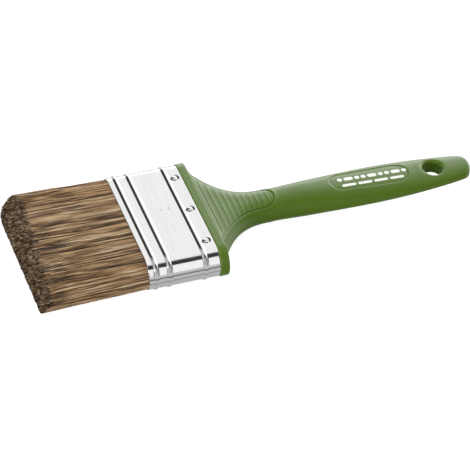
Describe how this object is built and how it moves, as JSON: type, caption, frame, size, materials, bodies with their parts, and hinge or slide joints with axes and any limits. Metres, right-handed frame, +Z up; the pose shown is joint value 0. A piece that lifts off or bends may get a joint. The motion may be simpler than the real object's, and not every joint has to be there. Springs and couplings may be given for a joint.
{
  "type": "flat paint brush",
  "caption": "Flat paint brush: brown bristle pack in a beaded bright steel ferrule, flared green plastic handle with ribbed grip and a hang hole in its tail cap.",
  "frame": {"origin": "on the surface that the brush lies on, under the middle of its length and width", "axes": "+X along the brush from the bristle tips to the butt of the handle, +Y across its width, +Z up through its thickness"},
  "size_m": [0.2094, 0.0726, 0.0168],
  "materials": {
    "green_plastic": "satin, lightly textured moulding",
    "bright_steel": "bright nickel plate",
    "nail_steel": "bright steel",
    "resin": "cast amber resin",
    "spacer_wood": "plain sawn strip",
    "bristle": "mixed brown natural bristle",
    "print_white": "pad-printed ink"
  },
  "bodies": {
    "root": {"handle_body": "green_plastic", "tail_cap": "green_plastic", "ferrule": "bright_steel", "nail_top_near": "nail_steel", "nail_top_middle": "nail_steel", "nail_top_far": "nail_steel", "nail_bottom_near": "nail_steel", "nail_bottom_middle": "nail_steel", "nail_bottom_far": "nail_steel", "resin_setting": "resin", "spacer_upper": "spacer_wood", "spacer_lower": "spacer_wood", "roots_upper": "bristle", "roots_middle": "bristle", "roots_lower": "bristle"},
    "bristle_pack": {"bristles_upper": "bristle", "bristles_middle": "bristle", "bristles_lower": "bristle"}
  },
  "joints": [
    {"name": "bristle_flex", "type": "hinge", "parent": "root", "child": "bristle_pack", "pos_m": [-0.05975, 0, 0.0084], "axis": [0, 1, 0], "range_deg": [-35, 35], "stiffness_Nm_per_rad": 0.35}
  ]
}
